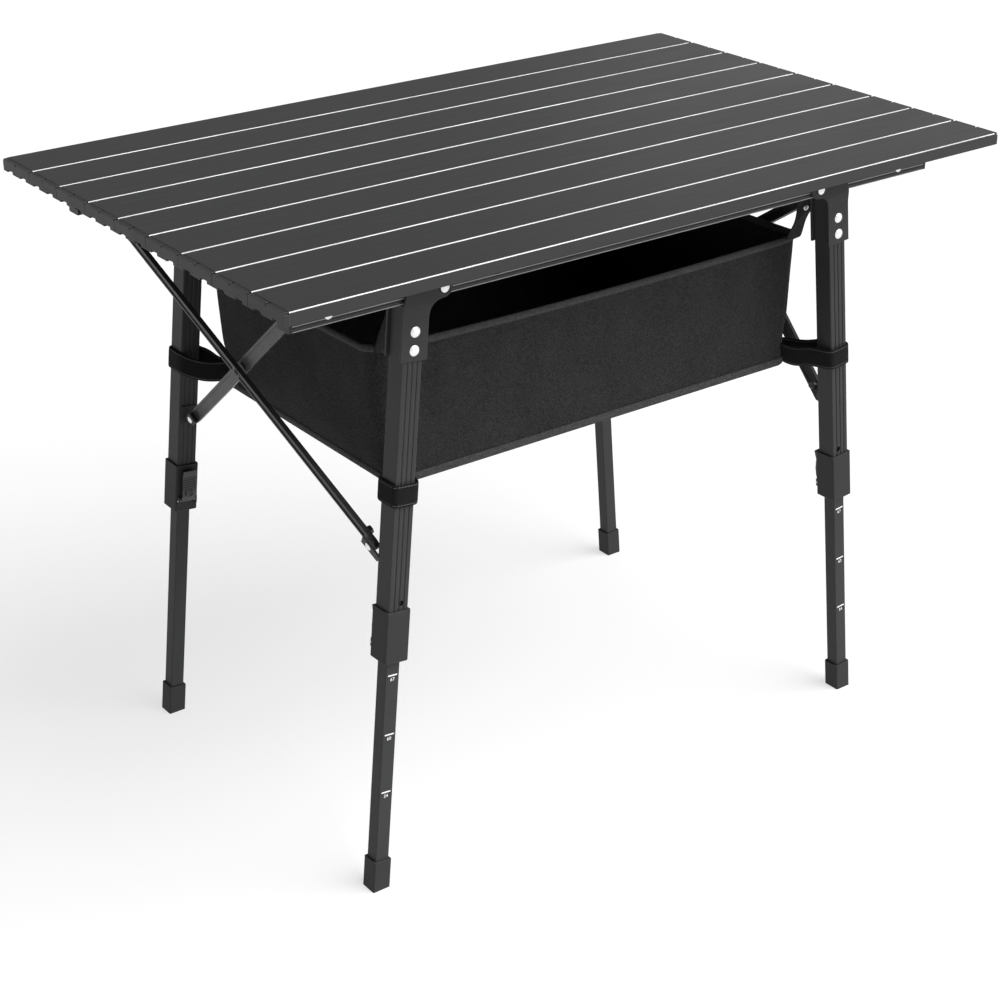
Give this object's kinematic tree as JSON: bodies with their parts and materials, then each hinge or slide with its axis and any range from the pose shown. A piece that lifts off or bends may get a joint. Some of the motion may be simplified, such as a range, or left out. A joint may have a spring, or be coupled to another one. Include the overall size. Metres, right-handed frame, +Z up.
{
  "type": "camp kitchen table",
  "caption": "Folding camp kitchen table: a roll-up slatted top on two side rails, splayed telescopic legs with flip latches, crossed end braces and a hanging fabric basket.",
  "frame": {"origin": "on the floor, under the middle of the top", "axes": "+X along the top's length, +Y across it towards the rear rail, +Z up"},
  "size_m": [0.9, 0.5578, 0.682],
  "materials": {
    "slat": "satin dark anodised",
    "cap": "moulded, fine grain",
    "rail": "satin powder coat",
    "tube": "matte dark anodised",
    "clamp": "moulded, fine grain",
    "latch": "semi-gloss",
    "bracket": "satin powder coat",
    "brace": "satin powder coat",
    "rivet": "bright domed heads",
    "basket": "woven polyester",
    "webbing": "woven webbing"
  },
  "bodies": {
    "frame": {"front_rail": "rail", "front_rail_fittings": "cap", "front_rail_rivets": "rivet", "basket": "basket", "basket_straps": "webbing"},
    "rear_frame": {"rear_rail": "rail", "rear_rail_fittings": "cap", "rear_rail_rivets": "rivet"},
    "leg_fl": {"fl_upper_tube": "tube", "fl_collar": "clamp", "fl_leg_brackets": "bracket", "fl_leg_rivets": "rivet"},
    "leg_fl_lower": {"fl_lower_tube": "tube", "fl_foot": "clamp"},
    "latch_fl": {"fl_lever": "latch"},
    "leg_fr": {"fr_upper_tube": "tube", "fr_collar": "clamp", "fr_leg_brackets": "bracket", "fr_leg_rivets": "rivet"},
    "leg_fr_lower": {"fr_lower_tube": "tube", "fr_foot": "clamp"},
    "latch_fr": {"fr_lever": "latch"},
    "leg_rl": {"rl_upper_tube": "tube", "rl_collar": "clamp", "rl_leg_brackets": "bracket", "rl_leg_rivets": "rivet"},
    "leg_rl_lower": {"rl_lower_tube": "tube", "rl_foot": "clamp"},
    "latch_rl": {"rl_lever": "latch"},
    "leg_rr": {"rr_upper_tube": "tube", "rr_collar": "clamp", "rr_leg_brackets": "bracket", "rr_leg_rivets": "rivet"},
    "leg_rr_lower": {"rr_lower_tube": "tube", "rr_foot": "clamp"},
    "latch_rr": {"rr_lever": "latch"},
    "brace_left_rear": {"brace_left_rear": "brace"},
    "brace_left_front": {"brace_left_front": "brace"},
    "brace_right_rear": {"brace_right_rear": "brace"},
    "brace_right_front": {"brace_right_front": "brace"},
    "top_1": {"slat_1": "slat", "slat_caps_1": "cap"},
    "top_2": {"slat_2": "slat", "slat_caps_2": "cap"},
    "top_3": {"slat_3": "slat", "slat_caps_3": "cap"},
    "top_4": {"slat_4": "slat", "slat_caps_4": "cap"},
    "top_5": {"slat_5": "slat", "slat_caps_5": "cap"},
    "top_6": {"slat_6": "slat", "slat_caps_6": "cap"},
    "top_7": {"slat_7": "slat", "slat_caps_7": "cap"},
    "top_8": {"slat_8": "slat", "slat_caps_8": "cap"},
    "top_9": {"slat_9": "slat", "slat_caps_9": "cap"}
  },
  "joints": [
    {"name": "frame_fold", "type": "slide", "parent": "frame", "child": "rear_frame", "axis": [0, -1, 0], "range_m": [0, 0.078], "deforming": ["basket", "basket_straps"]},
    {"name": "leg_fl_fold", "type": "hinge", "parent": "frame", "child": "leg_fl", "pos_m": [-0.2437, -0.2065, 0.6424], "axis": [0.068, -0.9977, 0], "range_deg": [0, 61]},
    {"name": "leg_fr_fold", "type": "hinge", "parent": "frame", "child": "leg_fr", "pos_m": [0.2437, -0.2065, 0.6424], "axis": [-0.068, 0.9977, 0], "range_deg": [0, 61]},
    {"name": "leg_rl_fold", "type": "hinge", "parent": "rear_frame", "child": "leg_rl", "pos_m": [-0.2437, 0.2065, 0.6424], "axis": [-0.068, -0.9977, 0], "range_deg": [0, 61]},
    {"name": "leg_rr_fold", "type": "hinge", "parent": "rear_frame", "child": "leg_rr", "pos_m": [0.2437, 0.2065, 0.6424], "axis": [0.068, 0.9977, 0], "range_deg": [0, 61]},
    {"name": "leg_fl_height", "type": "slide", "parent": "leg_fl", "child": "leg_fl_lower", "axis": [0.1002, 0.0184, 0.9948], "range_m": [0, 0.21]},
    {"name": "leg_fr_height", "type": "slide", "parent": "leg_fr", "child": "leg_fr_lower", "axis": [-0.1002, 0.0184, 0.9948], "range_m": [0, 0.21]},
    {"name": "leg_rl_height", "type": "slide", "parent": "leg_rl", "child": "leg_rl_lower", "axis": [0.1002, -0.0184, 0.9948], "range_m": [0, 0.21]},
    {"name": "leg_rr_height", "type": "slide", "parent": "leg_rr", "child": "leg_rr_lower", "axis": [-0.1002, -0.0184, 0.9948], "range_m": [0, 0.21]},
    {"name": "latch_fl_flip", "type": "hinge", "parent": "leg_fl", "child": "latch_fl", "pos_m": [-0.30854, -0.19674, 0.27624], "axis": [-0.995, 0.0019, 0.1002], "range_deg": [0, 75]},
    {"name": "latch_fr_flip", "type": "hinge", "parent": "leg_fr", "child": "latch_fr", "pos_m": [0.30854, -0.19674, 0.27624], "axis": [-0.995, -0.0019, -0.1002], "range_deg": [0, 75]},
    {"name": "latch_rl_flip", "type": "hinge", "parent": "leg_rl", "child": "latch_rl", "pos_m": [-0.30854, 0.19674, 0.27624], "axis": [0.995, 0.0019, -0.1002], "range_deg": [0, 75]},
    {"name": "latch_rr_flip", "type": "hinge", "parent": "leg_rr", "child": "latch_rr", "pos_m": [0.30854, 0.19674, 0.27624], "axis": [0.995, -0.0019, 0.1002], "range_deg": [0, 75]},
    {"name": "brace_left_rear_fold", "type": "hinge", "parent": "rear_frame", "child": "brace_left_rear", "pos_m": [-0.38144, 0.182, 0.63986], "axis": [0.2623, -0.9385, 0.2244], "range_deg": [0, 49.5]},
    {"name": "brace_left_front_fold", "type": "hinge", "parent": "frame", "child": "brace_left_front", "pos_m": [-0.37356, -0.182, 0.64214], "axis": [-0.2623, -0.9385, -0.2244], "range_deg": [0, 49.5]},
    {"name": "brace_right_rear_fold", "type": "hinge", "parent": "rear_frame", "child": "brace_right_rear", "pos_m": [0.38144, 0.182, 0.63986], "axis": [0.2267, 0.957, -0.1807], "range_deg": [0, 49.5]},
    {"name": "brace_right_front_fold", "type": "hinge", "parent": "frame", "child": "brace_right_front", "pos_m": [0.37356, -0.182, 0.64214], "axis": [-0.2267, 0.957, 0.1807], "range_deg": [0, 49.5]},
    {"name": "top_lift", "type": "slide", "parent": "frame", "child": "top_5", "axis": [0, 0, 1], "range_m": [0, 0.5]},
    {"name": "top_4_roll", "type": "hinge", "parent": "top_5", "child": "top_4", "pos_m": [0, -0.03103, 0.669], "axis": [1, 0, 0], "range_deg": [0, 35.5]},
    {"name": "top_3_roll", "type": "hinge", "parent": "top_4", "child": "top_3", "pos_m": [0, -0.0931, 0.669], "axis": [1, 0, 0], "range_deg": [0, 35.5]},
    {"name": "top_2_roll", "type": "hinge", "parent": "top_3", "child": "top_2", "pos_m": [0, -0.15517, 0.669], "axis": [1, 0, 0], "range_deg": [0, 35.5]},
    {"name": "top_1_roll", "type": "hinge", "parent": "top_2", "child": "top_1", "pos_m": [0, -0.21723, 0.669], "axis": [1, 0, 0], "range_deg": [0, 35.5]},
    {"name": "top_6_roll", "type": "hinge", "parent": "top_5", "child": "top_6", "pos_m": [0, 0.03103, 0.669], "axis": [-1, 0, 0], "range_deg": [0, 35.5]},
    {"name": "top_7_roll", "type": "hinge", "parent": "top_6", "child": "top_7", "pos_m": [0, 0.0931, 0.669], "axis": [-1, 0, 0], "range_deg": [0, 35.5]},
    {"name": "top_8_roll", "type": "hinge", "parent": "top_7", "child": "top_8", "pos_m": [0, 0.15517, 0.669], "axis": [-1, 0, 0], "range_deg": [0, 35.5]},
    {"name": "top_9_roll", "type": "hinge", "parent": "top_8", "child": "top_9", "pos_m": [0, 0.21723, 0.669], "axis": [-1, 0, 0], "range_deg": [0, 35.5]}
  ],
  "couplings": [
    {"joint": "leg_fl_fold", "follows": "frame_fold", "rad_per_m": 13.477},
    {"joint": "leg_fr_fold", "follows": "frame_fold", "rad_per_m": 13.477},
    {"joint": "leg_rl_fold", "follows": "frame_fold", "rad_per_m": 13.477},
    {"joint": "leg_rr_fold", "follows": "frame_fold", "rad_per_m": 13.477},
    {"joint": "brace_left_rear_fold", "follows": "frame_fold", "rad_per_m": 10.883},
    {"joint": "brace_left_front_fold", "follows": "frame_fold", "rad_per_m": 10.883},
    {"joint": "brace_right_rear_fold", "follows": "frame_fold", "rad_per_m": 10.693},
    {"joint": "brace_right_front_fold", "follows": "frame_fold", "rad_per_m": 10.693},
    {"joint": "top_4_roll", "follows": "top_lift", "rad_per_m": 1.2217},
    {"joint": "top_3_roll", "follows": "top_lift", "rad_per_m": 1.2217},
    {"joint": "top_2_roll", "follows": "top_lift", "rad_per_m": 1.2217},
    {"joint": "top_1_roll", "follows": "top_lift", "rad_per_m": 1.2217},
    {"joint": "top_6_roll", "follows": "top_lift", "rad_per_m": 1.2217},
    {"joint": "top_7_roll", "follows": "top_lift", "rad_per_m": 1.2217},
    {"joint": "top_8_roll", "follows": "top_lift", "rad_per_m": 1.2217},
    {"joint": "top_9_roll", "follows": "top_lift", "rad_per_m": 1.2217}
  ]
}
